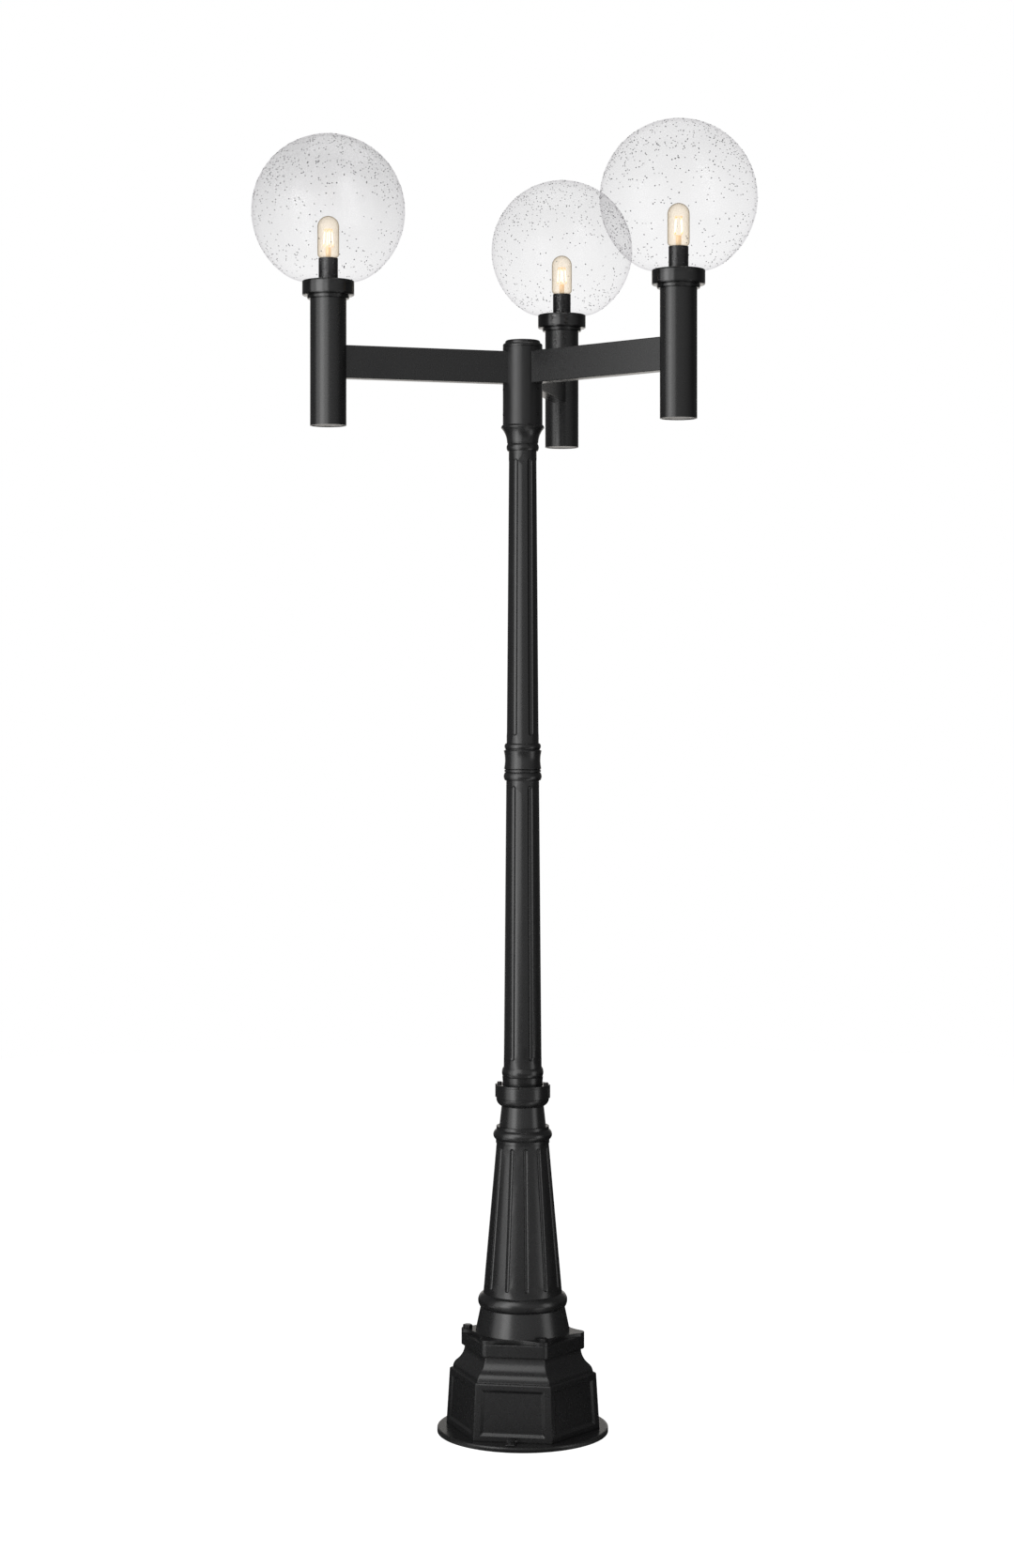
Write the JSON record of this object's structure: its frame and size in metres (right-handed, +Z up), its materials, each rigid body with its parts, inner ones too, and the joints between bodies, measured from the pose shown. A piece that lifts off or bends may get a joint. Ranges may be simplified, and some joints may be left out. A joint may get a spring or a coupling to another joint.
{
  "type": "outdoor post light",
  "caption": "Outdoor post light: clear seeded glass globes on tube columns at the ends of square arms, on a fluted black post with a hexagonal plinth and a round base flange.",
  "frame": {"origin": "centre of the cable hole on the underside of the base flange, on the post axis", "axes": "+Z up along the post; -Y is the outward normal of the front face of the hexagonal plinth"},
  "size_m": [1.0052, 0.9322, 2.6006],
  "materials": {
    "black_aluminium": "satin",
    "black_steel": "satin",
    "black_fasteners": "satin",
    "zinc_steel": "satin",
    "black_plastic": "matte",
    "gasket_rubber": "matte",
    "lampholder_ceramic": "gloss",
    "socket_brass": "satin",
    "seeded_glass": "gloss",
    "lamp_glass": "gloss",
    "lamp_base_nickel": "satin",
    "light_sticks": "matte"
  },
  "bodies": {
    "post": {"base_flange": "black_steel", "base_plinth": "black_aluminium", "plinth_screws": "black_fasteners", "pedestal": "black_aluminium", "pedestal_bolts": "black_fasteners", "clamp_left": "black_aluminium", "clamp_right": "black_aluminium", "clamp_bolts": "black_fasteners", "lower_shaft": "black_aluminium", "mid_collar": "black_aluminium", "upper_shaft": "black_aluminium", "capital": "black_aluminium"},
    "head": {"head_sleeve": "black_aluminium", "sleeve_cap": "black_aluminium", "set_screws": "black_fasteners", "nipple_nuts": "zinc_steel", "arm_left": "black_aluminium", "column_left": "black_aluminium", "column_plug_left": "black_plastic", "fitter_left": "black_aluminium", "gasket_left": "gasket_rubber", "nipple_left": "zinc_steel", "socket_cover_left": "black_aluminium", "lampholder_left": "lampholder_ceramic", "socket_shell_left": "socket_brass", "arm_right": "black_aluminium", "column_right": "black_aluminium", "column_plug_right": "black_plastic", "fitter_right": "black_aluminium", "gasket_right": "gasket_rubber", "nipple_right": "zinc_steel", "socket_cover_right": "black_aluminium", "lampholder_right": "lampholder_ceramic", "socket_shell_right": "socket_brass", "arm_rear": "black_aluminium", "column_rear": "black_aluminium", "column_plug_rear": "black_plastic", "fitter_rear": "black_aluminium", "gasket_rear": "gasket_rubber", "nipple_rear": "zinc_steel", "socket_cover_rear": "black_aluminium", "lampholder_rear": "lampholder_ceramic", "socket_shell_rear": "socket_brass"},
    "globe_unit_left": {"globe_collar_left": "black_aluminium", "globe_left": "seeded_glass"},
    "lamp_unit_left": {"lamp_base_left": "lamp_base_nickel", "lamp_glass_left": "lamp_glass", "lamp_filament_left": "light_sticks"},
    "globe_unit_right": {"globe_collar_right": "black_aluminium", "globe_right": "seeded_glass"},
    "lamp_unit_right": {"lamp_base_right": "lamp_base_nickel", "lamp_glass_right": "lamp_glass", "lamp_filament_right": "light_sticks"},
    "globe_unit_rear": {"globe_collar_rear": "black_aluminium", "globe_rear": "seeded_glass"},
    "lamp_unit_rear": {"lamp_base_rear": "lamp_base_nickel", "lamp_glass_rear": "lamp_glass", "lamp_filament_rear": "light_sticks"}
  },
  "joints": [
    {"name": "head_swivel", "type": "hinge", "parent": "post", "child": "head", "pos_m": [0, 0, 2.035], "axis": [0, 0, 1], "range_deg": [-180, 180]},
    {"name": "globe_lift_left", "type": "slide", "parent": "head", "child": "globe_unit_left", "axis": [0, 0, 1], "range_m": [0, 0.16]},
    {"name": "lamp_removal_left", "type": "slide", "parent": "head", "child": "lamp_unit_left", "axis": [0, 0, 1], "range_m": [0, 0.026]},
    {"name": "globe_lift_right", "type": "slide", "parent": "head", "child": "globe_unit_right", "axis": [0, 0, 1], "range_m": [0, 0.16]},
    {"name": "lamp_removal_right", "type": "slide", "parent": "head", "child": "lamp_unit_right", "axis": [0, 0, 1], "range_m": [0, 0.026]},
    {"name": "globe_lift_rear", "type": "slide", "parent": "head", "child": "globe_unit_rear", "axis": [0, 0, 1], "range_m": [0, 0.16]},
    {"name": "lamp_removal_rear", "type": "slide", "parent": "head", "child": "lamp_unit_rear", "axis": [0, 0, 1], "range_m": [0, 0.026]}
  ]
}
